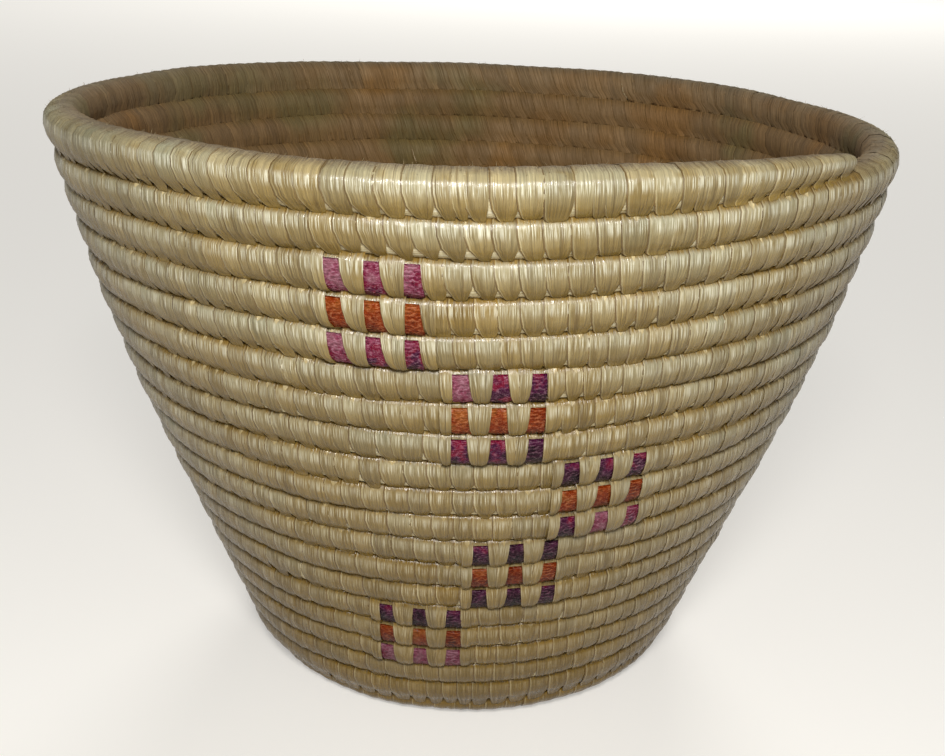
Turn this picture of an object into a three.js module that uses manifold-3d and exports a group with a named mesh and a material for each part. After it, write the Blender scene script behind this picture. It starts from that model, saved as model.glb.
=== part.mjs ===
// Coiled grass basket, in millimetres, +Z up.
// The origin is at the centre of the basket's footprint, on the surface that it stands on.
// The front, with the coloured figure, faces -Y, and +X is to the right.
//
// One cord of dry grass winds outwards as a flat base, bends up at the foot and climbs
// counter-clockwise, seen from above, as the flaring wall. It ends in a tapered tail on the rim.
// Strips of dyed gut lie on the outside of the cord. Each is held by two stitches over it, so
// that it shows in three places, and three strips one above the other make a block.
import * as THREE from 'three';
import { mergeVertices } from 'three/addons/utils/BufferGeometryUtils.js';
import Module from 'manifold-3d';

// The cord: the distance from one round to the next, and the space left between two rounds
const PITCH_AT_FOOT = 7.2;
const PITCH_AT_RIM = 8.25;
const ROUND_GAP = 0.6;

// The base: its rounds, and the radius at which the cord starts beside the middle
const BASE_ROUNDS = 6.4;
const START_RADIUS = 3.6;

// The wall: its rounds, the bend at its foot, and its lean out from upright, which changes
// over the upper rounds
const WALL_ROUNDS = 19.7;
const FOOT_BEND_ROUNDS = 1.1;
const LEAN_ABOVE_FOOT = 21.2;
const LEAN_AT_RIM = 11.3;
const LEAN_CHANGE_ROUNDS = 10.8;

// The tail: the azimuth at which the cord ends, its taper's sweep, and its height at the tip
const TAIL_END_AZIMUTH = -40;
const TAIL_SWEEP = 45;
const TAIL_TIP_HEIGHT = 3.2;

// The basket's weight has pressed the underside of the cord flat to this depth
const FLAT_DEPTH = 0.5;

// Dyed gut on the outside of the cord, and the stitches over it
const GUT_SHOWN = 3.6;
const GUT_THICKNESS = 0.4;
const GUT_ABOVE_RIDGE = 2.6;
const GUT_BELOW_RIDGE = 3.4;
const OVER_STITCH_WIDTH = 3.7;
const OVER_STITCH_THICKNESS = 0.5;
const OVER_STITCH_ABOVE_RIDGE = 3.3;
const OVER_STITCH_BELOW_RIDGE = 3.7;

// Stitches that tie the tail down on the round below it
const TAIL_STITCHES = 8;
const TAIL_STITCH_WIDTH = 3;
const TAIL_STITCH_SPACING = 4.6;
const TAIL_STITCH_THICKNESS = 0.6;

// Space kept between pieces that touch on the real basket
const CLEARANCE = 0.3;

// The figure: blocks of strips, each with the round of its top strip, counted down from the rim
// at the front, and the distance of its middle from the front line, round the wall to the right
const FRONT_AZIMUTH = -90;
const BLOCKS = [
  { name: 'a', topRound: 3, across: -17.5 },
  { name: 'b', topRound: 6, across: 5.9 },
  { name: 'c', topRound: 9, across: 28.3 },
  { name: 'd', topRound: 12, across: 10.7 },
  { name: 'e', topRound: 15, across: -9.3 },
];
const STRIP_COLOURS = [0x7d3563, 0xc4512f, 0x6b4577];
const STRIP_STITCHES = [{ name: 'left', side: -1 }, { name: 'right', side: 1 }];

const CORD_COLOUR = 0xcbb583;
const BASE_COLOUR = 0xb99f6c;
const STITCH_COLOUR = 0xd8c698;
const GRASS_ROUGHNESS = 0.7;
const GUT_ROUGHNESS = 0.5;

// Flat faces round one loop of the cord, and the steps in each that the wall's curve is added up in
const FACES_PER_ROUND = 24;
const STEPS_PER_FACE = 16;

const { degToRad, clamp, lerp } = THREE.MathUtils;
const FULL_TURN = 2 * Math.PI;
const HEXAGON_ANGLE = Math.PI / 6;
const TURNS = BASE_ROUNDS + WALL_ROUNDS;
const START_AZIMUTH = degToRad(TAIL_END_AZIMUTH) - FULL_TURN * TURNS;

// Distance between rounds, after a number of turns from the cord's start
function pitchAt(turn) {
  return lerp(PITCH_AT_FOOT, PITCH_AT_RIM, clamp((turn - BASE_ROUNDS) / WALL_ROUNDS, 0, 1));
}

// Slope of the wall from the ground, in radians: 0 in the base, then up through the foot's bend
function slopeAt(turn) {
  const bent = clamp((turn - BASE_ROUNDS) / FOOT_BEND_ROUNDS, 0, 1);
  const nearRim = clamp(1 - (TURNS - turn) / LEAN_CHANGE_ROUNDS, 0, 1);
  return bent * degToRad(90 - lerp(LEAN_ABOVE_FOOT, LEAN_AT_RIM, nearRim));
}

// Half the cord's height across its flat top and bottom, and the reach of its ridges
function halfHeightAt(turn) {
  return (pitchAt(turn) - ROUND_GAP) / 2;
}

function ridgeReach(halfHeight) {
  return halfHeight / Math.cos(HEXAGON_ANGLE);
}

// Radius and height of the cord's centre line, added up along its slope
function traceCentreLine() {
  const steps = Math.ceil((TURNS + 1) * FACES_PER_ROUND) * STEPS_PER_FACE;
  const turnsPerStep = 1 / (FACES_PER_ROUND * STEPS_PER_FACE);
  const line = [[START_RADIUS, ridgeReach(halfHeightAt(0)) - FLAT_DEPTH]];
  for (let i = 0; i < steps; i += 1) {
    const middle = (i + 0.5) * turnsPerStep;
    const advance = pitchAt(middle) * turnsPerStep;
    const [radius, height] = line[i];
    line.push([
      radius + advance * Math.cos(slopeAt(middle)),
      height + advance * Math.sin(slopeAt(middle)),
    ]);
  }
  return line;
}

const CENTRE_LINE = traceCentreLine();

function centreAt(turn) {
  return CENTRE_LINE[Math.round(turn * FACES_PER_ROUND * STEPS_PER_FACE)];
}

// A section point: out is square to the wall, up is along it. Both are turned with the wall
// and carried round to the azimuth of that turn.
function place(turn, [out, up]) {
  const slope = slopeAt(turn);
  const [radius, height] = centreAt(turn);
  const azimuth = START_AZIMUTH + FULL_TURN * turn;
  const reach = radius + out * Math.sin(slope) + up * Math.cos(slope);
  return new THREE.Vector3(
    reach * Math.cos(azimuth),
    reach * Math.sin(azimuth),
    height - out * Math.cos(slope) + up * Math.sin(slope),
  );
}

// Share of the full section that is left in the tail, which thins faster towards its tip
function tailShare(turn) {
  const into = clamp(1 - (TURNS - turn) * 360 / TAIL_SWEEP, 0, 1);
  return lerp(1, TAIL_TIP_HEIGHT / (2 * halfHeightAt(TURNS)), into * into);
}

// Each section is two chains of points of equal count: the outside, then the inside, both from
// the bottom up. The cord is a hexagon with flat faces to the rounds above and below it. Where
// the wall bends, those faces tilt by half of the bend, so that they stay parallel.
function cordSection(turn) {
  const full = halfHeightAt(turn);
  const half = full * tailShare(turn);
  const drop = half - full;
  const ridge = ridgeReach(half);
  const tiltUp = Math.tan((slopeAt(turn + 1) - slopeAt(turn)) / 2);
  const tiltDown = Math.tan((slopeAt(turn) - slopeAt(turn - 1)) / 2);
  const side = (sign) => [
    [sign * ridge / 2, drop - half - sign * ridge / 2 * tiltDown],
    [sign * ridge, drop],
    [sign * ridge / 2, drop + half + sign * ridge / 2 * tiltUp],
  ];
  return [side(1), side(-1)];
}

// A thin layer folded over the cord's outer ridge, at a distance from it
function foldSection(turn, distance, thickness, above, below) {
  const layer = (depth) => {
    const ridge = ridgeReach(halfHeightAt(turn) + depth);
    return [-below, 0, above].map((up) => [ridge - Math.abs(up) * Math.tan(HEXAGON_ANGLE), up]);
  };
  return [layer(distance + thickness), layer(distance)];
}

function gutSection(turn) {
  return foldSection(turn, CLEARANCE, GUT_THICKNESS, GUT_ABOVE_RIDGE, GUT_BELOW_RIDGE);
}

function overStitchSection(turn) {
  const distance = CLEARANCE + GUT_THICKNESS + CLEARANCE;
  return foldSection(
    turn, distance, OVER_STITCH_THICKNESS, OVER_STITCH_ABOVE_RIDGE, OVER_STITCH_BELOW_RIDGE,
  );
}

// A stitch over the tail, from its outer ridge across its top to its inner ridge
function tailStitchSection(turn) {
  const full = halfHeightAt(turn);
  const half = full * tailShare(turn);
  const layer = (distance) => {
    const height = half + distance;
    const ridge = ridgeReach(height);
    const drop = half - full;
    return [[ridge, drop], [ridge / 2, drop + height], [-ridge / 2, drop + height], [-ridge, drop]];
  };
  return [layer(CLEARANCE + TAIL_STITCH_THICKNESS), layer(CLEARANCE)];
}

// A section on the flat faces that run from one face's start to the next
function ringAt(turn, section) {
  const face = Math.floor(turn * FACES_PER_ROUND);
  const along = turn * FACES_PER_ROUND - face;
  const from = face / FACES_PER_ROUND;
  const to = (face + 1) / FACES_PER_ROUND;
  const starts = section(from);
  const ends = section(to);
  return starts.map((chain, side) => chain.map(
    (point, k) => place(from, point).lerp(place(to, ends[side][k]), along),
  ));
}

// Closed body between two turns: a ring at each end and at every face's start between them
function sweep(firstTurn, lastTurn, section) {
  const rings = [ringAt(firstTurn, section)];
  const nextFace = Math.floor(firstTurn * FACES_PER_ROUND) + 1;
  for (let face = nextFace; face / FACES_PER_ROUND < lastTurn; face += 1) {
    rings.push(ringAt(face / FACES_PER_ROUND, section));
  }
  rings.push(ringAt(lastTurn, section));

  const links = rings[0][0].length;
  const loop = 2 * links;
  const corners = rings.flatMap(([outside, inside]) => [...outside, ...[...inside].reverse()]);
  const faces = [];
  for (let ring = 0; ring < rings.length - 1; ring += 1) {
    for (let k = 0; k < loop; k += 1) {
      const here = ring * loop + k;
      const beside = ring * loop + (k + 1) % loop;
      faces.push(here, here + loop, beside, beside, here + loop, beside + loop);
    }
  }
  const end = (rings.length - 1) * loop;
  for (let k = 0; k < links - 1; k += 1) {
    const across = loop - 1 - k;
    faces.push(k, k + 1, across, k + 1, across - 1, across);
    faces.push(end + k, end + across, end + k + 1, end + k + 1, end + across, end + across - 1);
  }
  const geometry = new THREE.BufferGeometry();
  const numbers = corners.flatMap((corner) => corner.toArray());
  geometry.setAttribute('position', new THREE.Float32BufferAttribute(numbers, 3));
  geometry.setIndex(faces);
  return geometry;
}

const wasm = await Module();
wasm.setup();

function toSolid(geometry) {
  const bare = geometry.clone();
  bare.deleteAttribute('normal');
  bare.deleteAttribute('uv');
  const merged = mergeVertices(bare);
  return new wasm.Manifold(new wasm.Mesh({
    numProp: 3,
    vertProperties: new Float32Array(merged.attributes.position.array),
    triVerts: new Uint32Array(merged.index.array),
  }));
}

// Everything below the ground is cut away, which leaves the flats that the basket stands on
function cutAtGround(geometry) {
  const reach = 4 * CENTRE_LINE.at(-1)[0];
  const ground = new THREE.BoxGeometry(reach, reach, reach).translate(0, 0, -reach / 2);
  const { vertProperties, triVerts } = toSolid(geometry).subtract(toSolid(ground)).getMesh();
  const cut = new THREE.BufferGeometry();
  cut.setAttribute('position', new THREE.Float32BufferAttribute(vertProperties, 3));
  cut.setIndex(Array.from(triVerts));
  return cut;
}

// A length along the cord, as a part of one turn
function turnsFor(length, turn) {
  return length / (FULL_TURN * centreAt(turn)[0]);
}

function piece(name, geometry, color, roughness) {
  const shaded = geometry.toNonIndexed();
  shaded.computeVertexNormals();
  const mesh = new THREE.Mesh(
    shaded,
    new THREE.MeshStandardMaterial({ color, roughness, metalness: 0 }),
  );
  mesh.name = name;
  return mesh;
}

// The turn of a round, counted down from the rim, at a distance round the wall from the front
function turnOnWall(round, across) {
  const tailToFront = ((TAIL_END_AZIMUTH - FRONT_AZIMUTH + 360) % 360) / 360;
  const atFront = TURNS - tailToFront - (round - 1);
  return atFront + turnsFor(across, atFront);
}

function cord() {
  const group = new THREE.Group();
  const wallStart = BASE_ROUNDS + turnsFor(CLEARANCE, BASE_ROUNDS);
  const base = cutAtGround(sweep(0, BASE_ROUNDS, cordSection));
  const wall = cutAtGround(sweep(wallStart, TURNS, cordSection));
  group.add(piece('base_coil', base, BASE_COLOUR, GRASS_ROUGHNESS));
  group.add(piece('wall_coil', wall, CORD_COLOUR, GRASS_ROUGHNESS));
  return group;
}

// A body of one section, centred on a turn and as long as it is wide on the wall
function bandAt(turn, width, section) {
  const half = turnsFor(width / 2, turn);
  return sweep(turn - half, turn + half, section);
}

function gutBlock({ name, topRound, across }) {
  const group = new THREE.Group();
  const stripLength = 3 * GUT_SHOWN + 2 * OVER_STITCH_WIDTH;
  const stitchOffset = (GUT_SHOWN + OVER_STITCH_WIDTH) / 2;
  STRIP_COLOURS.forEach((colour, row) => {
    const label = `${name}${row + 1}`;
    const middle = turnOnWall(topRound + row, across);
    const strip = bandAt(middle, stripLength, gutSection);
    group.add(piece(`gut_strip_${label}`, strip, colour, GUT_ROUGHNESS));
    for (const stitch of STRIP_STITCHES) {
      const turn = turnOnWall(topRound + row, across + stitch.side * stitchOffset);
      const over = bandAt(turn, OVER_STITCH_WIDTH, overStitchSection);
      const stitchName = `strip_stitch_${label}_${stitch.name}`;
      group.add(piece(stitchName, over, STITCH_COLOUR, GRASS_ROUGHNESS));
    }
  });
  return group;
}

function tailStitches() {
  const group = new THREE.Group();
  for (let i = 0; i < TAIL_STITCHES; i += 1) {
    const turn = TURNS - turnsFor((i + 0.5) * TAIL_STITCH_SPACING, TURNS);
    const stitch = bandAt(turn, TAIL_STITCH_WIDTH, tailStitchSection);
    group.add(piece(`tail_stitch_${i + 1}`, stitch, STITCH_COLOUR, GRASS_ROUGHNESS));
  }
  return group;
}

// Least distance between points on two neighbouring rounds, at every face's start and middle
function leastGap() {
  const POINTS_PER_EDGE = 6;
  const around = (turn) => {
    const [outside, inside] = ringAt(turn, cordSection);
    const loop = [...outside, ...[...inside].reverse()];
    return loop.flatMap((corner, k) => Array.from(
      { length: POINTS_PER_EDGE },
      (_, j) => corner.clone().lerp(loop[(k + 1) % loop.length], j / POINTS_PER_EDGE),
    ));
  };
  let least = Infinity;
  for (let half = 0; half / (2 * FACES_PER_ROUND) <= TURNS - 1; half += 1) {
    const below = around(half / (2 * FACES_PER_ROUND));
    const above = around(half / (2 * FACES_PER_ROUND) + 1);
    for (const a of below) {
      for (const b of above) least = Math.min(least, a.distanceTo(b));
    }
  }
  return least;
}

console.log(`least gap between rounds ${leastGap().toFixed(2)} mm`);

const basket = new THREE.Group();
basket.name = 'grass_basket';
basket.add(cord());
for (const block of BLOCKS) basket.add(gutBlock(block));
basket.add(tailStitches());

export default basket;
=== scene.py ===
"""A coiled basket of dried beach grass, standing on a pale floor.

The cord is a bundle of loose grass. It is wound as a flat spiral for the base and goes on, round after
round, as the flaring wall, up to a thin tail on the rim. Split grass strands are sewn over it side by side:
each goes over the cord and through the round below. On the front lie short strips of dyed gut, each held
down by two stitches over it. Lengths are in metres and angles in degrees, unless a name or a comment says
otherwise.
"""
import math

import bpy
import numpy as np
from mathutils import Matrix, Vector


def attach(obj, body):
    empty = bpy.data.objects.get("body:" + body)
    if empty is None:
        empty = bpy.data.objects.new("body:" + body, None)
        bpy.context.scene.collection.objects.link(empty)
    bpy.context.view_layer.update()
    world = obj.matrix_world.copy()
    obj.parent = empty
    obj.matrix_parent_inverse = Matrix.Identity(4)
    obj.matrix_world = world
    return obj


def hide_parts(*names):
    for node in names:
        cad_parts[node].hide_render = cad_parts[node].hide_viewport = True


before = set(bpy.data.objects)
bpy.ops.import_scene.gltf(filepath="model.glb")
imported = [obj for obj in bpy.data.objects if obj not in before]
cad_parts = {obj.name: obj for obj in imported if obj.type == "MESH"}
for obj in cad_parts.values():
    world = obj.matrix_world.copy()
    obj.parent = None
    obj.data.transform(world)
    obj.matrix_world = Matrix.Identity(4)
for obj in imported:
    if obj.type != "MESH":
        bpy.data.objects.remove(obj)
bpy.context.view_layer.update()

MM = 0.001

# The cord's route, as the solids have it
PITCH_AT_FOOT = 7.2 * MM
PITCH_AT_RIM = 8.25 * MM
ROUND_GAP = 0.6 * MM
BASE_ROUNDS = 6.4
START_RADIUS = 3.6 * MM
START_TURN = -0.4
WALL_ROUNDS = 19.7
FOOT_BEND_ROUNDS = 1.1
LEAN_ABOVE_FOOT = 21.2
LEAN_AT_RIM = 11.3
LEAN_CHANGE_ROUNDS = 10.8
TAIL_END_AZIMUTH = -40
TAIL_SWEEP = 45
TAIL_TIP_HEIGHT = 3.2 * MM
FLAT_DEPTH = 0.5 * MM
FRONT_AZIMUTH = -90
TURNS = BASE_ROUNDS + WALL_ROUNDS
LINE_POINTS = 12001
START_AZIMUTH = math.radians(TAIL_END_AZIMUTH) - 2 * math.pi * TURNS

# Unevenness of hand work: what neighbouring rounds share, outwards and upwards, and what each has alone
SHARED_WAVE_OUT = 0.55 * MM
SHARED_WAVE_UP = 0.45 * MM
OWN_WAVE = 0.16 * MM
LEAST_RADIUS = 0.25 * MM

# The bundle under the stitches: half of its height and depth as shares of the pitch, half of its depth on
# the base, and the power of sine and cosine in its section, where 1 is an ellipse and less is fuller
BUNDLE_HALF_HEIGHT = 0.51
BUNDLE_HALF_DEPTH = 0.482
BASE_HALF_DEPTH = 2.85 * MM
FULLNESS = 0.79
BUNDLE_STEP = 2.4 * MM
BUNDLE_SIDES = 16
# Loose stems fill the groove: most at this angle, and less with this many degrees from it
GROOVE_FILL = 0.4 * MM
FILLED_ANGLE = -63
FILL_SPREAD = 17

# Stitches. New ones are put in where a round has fallen one short of this spacing, and where two have grown
# further apart than WIDEST_GAP times as much. The widths are held between two shares of the spacing.
STITCH_SPACING = 4.1 * MM
SPACING_VARIES = 0.08
PLACE_VARIES = 0.12 * MM
WIDEST_GAP = 1.7
LEAST_GAP_TO_FILL = 1.05
NARROWEST = 0.7
WIDEST = 1.5
FIRST_STITCH = -0.3
LEAN_LOW = 0.1 * MM
LEAN_HIGH = 1.4 * MM
LEAN_ROUNDS = 9
LEAN_VARIES = 0.2 * MM
LEANS_MOST_AZIMUTH = 200
INNER_LEAN = 0.8
STITCH_WIDER = 1.2
WIDTH_VARIES = 0.03
LEAST_WIDTH = 0.2
TIP_NARROWER_BY = 0.27
SHARE_OF_GAPS = 0.014
GAP_NARROWER = 0.26
SHARE_SPLIT = 0.33
TUCKED_CROWN = 0.7
CROWN_VARIES = 0.07
# How far the hidden side of a stitch reaches into the bundle, and further where its tip bridges the groove
KEEL_DEPTH = 0.5 * MM
KEEL_DEPTH_IN_GROOVE = 1.9 * MM
TAIL_STITCHES = 8
TAIL_STITCH_SPACING = 4.6 * MM
TAIL_LEANS = np.array((-1.4, -2.2, -2.7, -2.9, -2.7, -2.3, -1.8, -1.4)) * MM
WALL_BANDS = 5

# A stitch from its outer tip, over the cord, to its inner tip. Each row is a ring: the angle round its own
# cord, the angle round the cord below, the share of the second, the width as a share of the full one, the
# crown over the bundle in millimetres and the share of the lean at that place.
STITCH_RINGS = np.array((
    (-42, 52, 1.0, 0.14, 0.0, 1.0),
    (-42, 52, 0.97, 0.36, 0.36, 0.99),
    (-42, 52, 0.8, 0.54, 0.44, 0.95),
    (-42, 52, 0.5, 0.65, 0.4, 0.87),
    (-41, 52, 0.2, 0.72, 0.34, 0.76),
    (-32, 50, 0.0, 0.79, 0.3, 0.6),
    (-12, 70, 0.0, 0.91, 0.33, 0.34),
    (12, 70, 0.0, 1.0, 0.38, 0.13),
    (38, 70, 0.0, 1.0, 0.42, 0.0),
    (63, 70, 0.0, 1.0, 0.38, 0.0),
    (96, 110, 0.0, 1.0, 0.34, 0.0),
    (130, 110, 0.0, 1.02, 0.38, 0.1),
    (165, 110, 0.0, 1.04, 0.38, 0.3),
    (200, 110, 0.0, 1.04, 0.36, 0.6),
    (228, 117, 0.3, 1.04, 0.48, 0.9),
    (236, 130, 1.0, 0.95, 0.0, 1.0),
))
INNER_FROM_RING = 10
# The three points across a stitch and the keel below it, which the bundle hides, with their heights against
# the crown in millimetres: the left edge lies on the stitch before it, and the right one under the next
ACROSS = np.array((-1.0, -0.05, 1.0, 0.0))
ACROSS_LIFT = np.array((0.0, 0.15, -0.1, 0.0))
EDGE_SIDES = (0, 2)
IS_KEEL = np.array((0.0, 0.0, 0.0, 1.0))
# Places where the stitches' tips are drawn in, so that the loose stems show between them: the round counted
# from the rim, millimetres to the right of the front, how far it reaches and how much narrower the tips are
OPEN_PLACES = (
    (1, -4, 14, 0.1), (2, -2, 20, 0.3), (2, 52, 12, 0.12), (3, -14, 12, 0.12), (4, 30, 9, 0.1),
    (6, 16, 14, 0.14), (8, 4, 10, 0.14), (9, 2, 9, 0.2), (10, 4, 9, 0.2), (11, -4, 10, 0.2), (16, 14, 7, 0.2),
    (7, -52, 15, 0.15), (13, 30, 10, 0.14),
)

# The gut strips: what shows of one in each cell, and the angles and lifts of its surface
GUT_COLUMNS = 57
GUT_ANGLES = (40, 28, 16, 4, -8, -20, -32, -44, -52, -58)
GUT_ROW_MM = 0.75
GUT_LIFT = 0.66 * MM
GUT_LIFT_BELOW = 0.35 * MM
GUT_UNDERSIDE = 0.2 * MM
GUT_EDGE = -0.1 * MM
PUCKER = 0.07 * MM
CREASE = 0.09 * MM
GUT_SHOWN = 3.6 * MM
OVER_STITCH_WIDTH = 3.7 * MM
STRAND_WIDTH = 2.0 * MM
STRAND_SPACING = 1.96 * MM
# The six strands over a strip, from left to right: the first and last lie over its ends, and each two between
# them are one stitch. The last lies low, under the plain stitch that follows it.
STRAND_LEANS = np.array((0, 0.6, -0.5, 0.6, -0.5, 0)) * MM
STRAND_FORKS = np.array((0, -0.22, 0.22, -0.22, 0.22, 0)) * MM
STRAND_LIFTS = np.array((0.76, 0.76, 0.76, 0.76, 0.76, 0.45)) * MM
# The figure: five blocks of three rows. Each has its top round, counted from the rim, its place in
# millimetres to the right of the front, and the dye of each cell, row by row: 0 is the darkest of its colour.
BLOCKS = (
    ("a", 3, -17.5, ((0.95, 0.8, 0.75), (0.6, 0.7, 0.6), (0.82, 0.66, 0.5))),
    ("b", 6, 5.9, ((0.86, 0.52, 0.3), (0.85, 0.8, 0.55), (0.42, 0.36, 0.16))),
    ("c", 9, 28.3, ((0.2, 0.24, 0.38), (0.75, 0.5, 0.45), (0.3, 0.82, 0.62))),
    ("d", 12, 10.7, ((0.24, 0.1, 0.12), (0.55, 0.4, 0.62), (0.18, 0.12, 0.26))),
    ("e", 15, -9.3, ((0.2, 0.1, 0.2), (0.5, 0.75, 0.4), (0.8, 0.88, 0.95))),
)
ROW_SLOTS = ("gut_purple", "gut_orange", "gut_purple")

# Broken fibre ends on the rim
RIM_HAIRS = 420
HAIR_ANGLES = (58, 125)
HAIR_ROOT_LIFT = 0.35 * MM
HAIR_LENGTHS = (0.4 * MM, 1.2 * MM)
HAIR_RADIUS = 0.065 * MM
HAIR_TAPER = 0.75

# Grain, in millimetres: width across the fibres and length along them. The fibres of a split leaf are about
# 0.2 mm apart. They hardly show in the render, so bunches of them are drawn too.
FIBRES = (0.2, 7)
BUNCHES = (0.34, 14)
STAINS = (5, 5)
DENTS = (1.6, 2.4)
GUT_WRINKLES = (0.9, 0.3)
STEMS = (0.5, 25)

# Colour ramps: places and sRGB hex colours. The grass from fresh to ochre, on the wall and on the base, and
# aged inside, darker there also as painted shade, the loose stems, and the dyes from where they gathered to
# where they are rubbed off.
FRESH = ((0.0, "a6a98f"), (0.3, "b9b393"), (0.65, "b7a880"), (0.88, "aa9566"), (1.0, "9a804a"))
UNDER = ((0.0, "aea67e"), (0.5, "b3a274"), (1.0, "9e875c"))
AGED_AND_SHADED = ((0.36, "6c5c36"), (0.46, "775b37"), (0.56, "7f6340"), (0.66, "805c30"))
STRAW = ((0.3, "a68c58"), (0.42, "dccb9c"), (0.7, "efe5c6"))
PURPLE = (
    (0.0, "12020c"), (0.18, "2c061c"), (0.34, "480c34"), (0.5, "7a0e2c"), (0.66, "6f1a36"), (0.82, "87384f"),
    (1.0, "8c5460"),
)
ORANGE = ((0.0, "3a0a02"), (0.4, "6e2002"), (0.7, "842f09"), (1.0, "8d4a1c"))

# Lamps: name, place, size in metres and watts. All point at the middle of the basket.
LAMPS = (
    ("key", (0.0, -0.43, 0.37), 0.11, 2.2),
    ("fill", (0.6, -0.7, 0.5), 0.6, 0.25),
    ("back", (0.5, 3.6, 2.0), 1.6, 90),
)
LIT_PLACE = (0, 0, 0.07)
# The floor glows only where the camera or a reflection sees it, which keeps it pale and lights nothing
ROOM_COLOUR = "f4f2ee"
ROOM_STRENGTH = 0.15
FLOOR_COLOUR = "cbc8c1"
FLOOR_GLOW = 0.45
FLOOR_REACH = 4.0

# The camera, fitted to the photograph's 945 by 756 frame
PHOTO_WIDTH = 945
CAMERA_PLACE = (0.0, -0.32625, 0.18899)
CAMERA_YAW = 0.207
CAMERA_DOWN = 20.027
CAMERA_ROLL = 1.436
FOCAL_PIXELS = 1267.0
SENSOR_WIDTH_MM = 36.0


def mix(first, second, share):
    return first + (second - first) * share


def pitch_at(turn):
    return mix(PITCH_AT_FOOT, PITCH_AT_RIM, np.clip((turn - BASE_ROUNDS) / WALL_ROUNDS, 0, 1))


def bend_at(turn):
    """0 on the base, 1 from the top of the bend at the foot on."""
    return np.clip((turn - BASE_ROUNDS) / FOOT_BEND_ROUNDS, 0, 1)


def slope_at(turn):
    """Steepness of the wall in radians: 0 on the flat base, a right angle on an upright wall."""
    towards_rim = np.clip(1 - (TURNS - turn) / LEAN_CHANGE_ROUNDS, 0, 1)
    return bend_at(turn) * np.radians(90 - mix(LEAN_ABOVE_FOOT, LEAN_AT_RIM, towards_rim))


def tail_share(turn):
    """The cord's height as a share of the full one: 1, and falling with the square over the tail."""
    into = np.clip(1 - (TURNS - turn) * 360 / TAIL_SWEEP, 0, 1)
    return mix(1.0, TAIL_TIP_HEIGHT / (PITCH_AT_RIM - ROUND_GAP), into * into)


def trace_line():
    """Turns, radii and heights along the cord's middle: each step goes one share of the pitch outwards and
    up, as steep as the wall is there. It starts one turn early, for what the first round is sewn to."""
    turns = np.linspace(-1, TURNS, LINE_POINTS)
    step = turns[1] - turns[0]
    middle = (turns[:-1] + turns[1:]) / 2
    outwards = pitch_at(middle) * np.cos(slope_at(middle)) * step
    upwards = pitch_at(middle) * np.sin(slope_at(middle)) * step
    start_height = (PITCH_AT_FOOT - ROUND_GAP) / 2 / math.cos(math.radians(30)) - FLAT_DEPTH
    radius = START_RADIUS - PITCH_AT_FOOT + np.concatenate(((0,), np.cumsum(outwards)))
    height = start_height + np.concatenate(((0,), np.cumsum(upwards)))
    return turns, radius, height


LINE_TURNS, LINE_RADII, LINE_HEIGHTS = trace_line()


def waves(turn, cycles, seed):
    """Smooth unevenness between about -1 and 1: a sum of sine waves, so many to the turn."""
    rng = np.random.default_rng(seed)
    phases = rng.uniform(0, 2 * math.pi, len(cycles))
    return sum(np.sin(2 * math.pi * turn * c + p) for c, p in zip(cycles, phases)) / math.sqrt(len(cycles))


def cord_at(turn):
    """The cord's middle there, radius and height, with the unevenness of hand work: long waves that
    neighbouring rounds share, more of them higher up, and short ones of each round's own."""
    radius = np.interp(turn, LINE_TURNS, LINE_RADII)
    height = np.interp(turn, LINE_TURNS, LINE_HEIGHTS)
    up_the_wall = np.clip((turn - BASE_ROUNDS) / WALL_ROUNDS, 0, 1)
    radius = radius + up_the_wall * waves(turn, (2, 3, 5), 11) * SHARED_WAVE_OUT
    radius = radius + bend_at(turn) * waves(turn, (3.37, 6.71, 11.3), 12) * OWN_WAVE
    height = height + up_the_wall * waves(turn, (2, 3, 4), 13) * SHARED_WAVE_UP
    height = height + bend_at(turn) * waves(turn, (4.31, 7.77, 12.9), 14) * OWN_WAVE
    return radius, height


def azimuth(turn):
    return START_AZIMUTH + 2 * math.pi * turn


def turns_for(distance, turn):
    """The share of a turn that a distance along the cord takes up there."""
    return distance / (2 * math.pi * np.maximum(np.interp(turn, LINE_TURNS, LINE_RADII), START_RADIUS))


def outline(turn, angle, lift):
    """Radius and height of a point of the cord's skin: out is the depth times cos^e of the angle, up is the
    half height times sin^e, both moved by the lift along the outline's normal, then turned with the wall.
    On the tail the section shrinks down on to the round below."""
    pitch = pitch_at(turn)
    share = tail_share(turn)
    full = BUNDLE_HALF_HEIGHT * pitch
    half = full * share
    depth = mix(BASE_HALF_DEPTH, BUNDLE_HALF_DEPTH * pitch, bend_at(turn)) * share
    cos, sin = np.cos(angle), np.sin(angle)
    out = depth * np.sign(cos) * np.abs(cos) ** FULLNESS
    up = half * np.sign(sin) * np.abs(sin) ** FULLNESS
    normal_out = np.sign(cos) * np.abs(cos) ** (2 - FULLNESS) * half
    normal_up = np.sign(sin) * np.abs(sin) ** (2 - FULLNESS) * depth
    length = np.hypot(normal_out, normal_up)
    out = out + lift * normal_out / length
    up = up + lift * normal_up / length + half - full
    radius, height = cord_at(turn)
    sin, cos = np.sin(slope_at(turn)), np.cos(slope_at(turn))
    return radius + out * sin + up * cos, height - out * cos + up * sin


def place(turn, radius, height):
    """Points in space, last axis x, y, z. Nothing goes past the middle or below the floor."""
    radius = np.maximum(radius, LEAST_RADIUS)
    x = radius * np.cos(azimuth(turn))
    y = radius * np.sin(azimuth(turn))
    return np.stack((x, y, np.maximum(height, 0)), axis=-1)


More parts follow.
